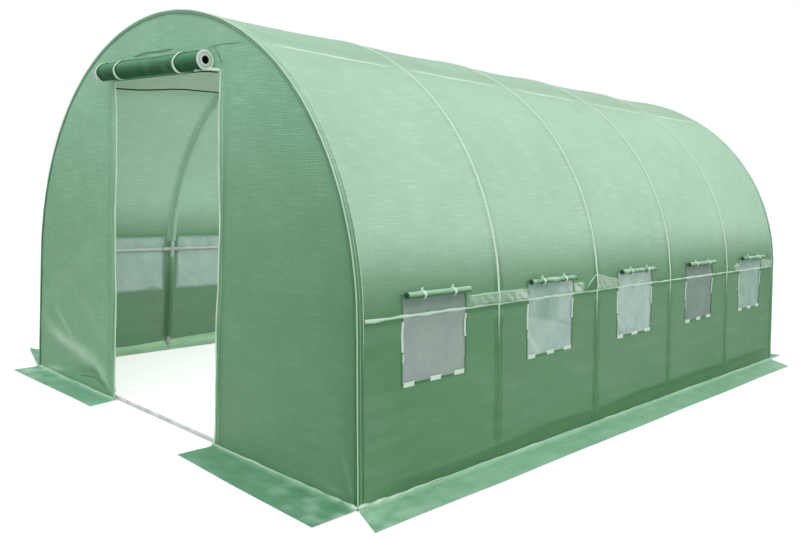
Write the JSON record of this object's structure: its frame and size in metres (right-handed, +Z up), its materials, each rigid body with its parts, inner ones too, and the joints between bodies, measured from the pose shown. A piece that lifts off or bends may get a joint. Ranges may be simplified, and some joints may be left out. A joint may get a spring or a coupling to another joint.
{
  "type": "walk-in tunnel greenhouse",
  "caption": "Walk-in tunnel greenhouse: steel hoops and rails under an arched woven cover, with a rolled-up door in each end, netted side windows and ground skirts.",
  "frame": {"origin": "middle of the tunnel's plan on the ground", "axes": "+X across the tunnel to the side with the windows seen first, +Y along the tunnel from the front end to the back end, +Z up"},
  "size_m": [3.381, 4.981, 2.0657],
  "materials": {
    "tube_paint": "satin white powder coat",
    "fitting_paint": "satin white pressed steel",
    "cover_cloth": "green woven polyethylene with a reinforcing grid",
    "skirt_cloth": "green woven polyethylene",
    "net": "fine insect net"
  },
  "bodies": {
    "root": {"back_base_bar": "tube_paint", "back_door_frame": "tube_paint", "back_door_roll": "cover_cloth", "back_skirt_left": "skirt_cloth", "back_skirt_right": "skirt_cloth", "back_wall_left": "cover_cloth", "back_wall_right": "cover_cloth", "back_wall_top": "cover_cloth", "base_rail_left": "tube_paint", "base_rail_right": "tube_paint", "foot_fittings": "fitting_paint", "front_base_bar": "tube_paint", "front_door_frame": "tube_paint", "front_door_roll": "cover_cloth", "front_skirt_left": "skirt_cloth", "front_skirt_right": "skirt_cloth", "front_wall_left": "cover_cloth", "front_wall_right": "cover_cloth", "front_wall_top": "cover_cloth", "hoop_1": "tube_paint", "hoop_2": "tube_paint", "hoop_3": "tube_paint", "hoop_4": "tube_paint", "hoop_5": "tube_paint", "hoop_6": "tube_paint", "ridge_fittings": "fitting_paint", "ridge_rail": "tube_paint", "roof_crown": "cover_cloth", "roof_shoulder_left": "cover_cloth", "roof_shoulder_right": "cover_cloth", "side_skirt_left": "skirt_cloth", "side_skirt_right": "skirt_cloth", "side_wall_left": "cover_cloth", "side_wall_right": "cover_cloth", "upper_fittings": "fitting_paint", "upper_rail_left": "tube_paint", "upper_rail_right": "tube_paint", "waist_fittings": "fitting_paint", "waist_rail_left": "tube_paint", "waist_rail_right": "tube_paint", "window_flaps_left": "cover_cloth", "window_flaps_right": "cover_cloth", "window_nets_left": "net", "window_nets_right": "net"}
  },
  "joints": []
}
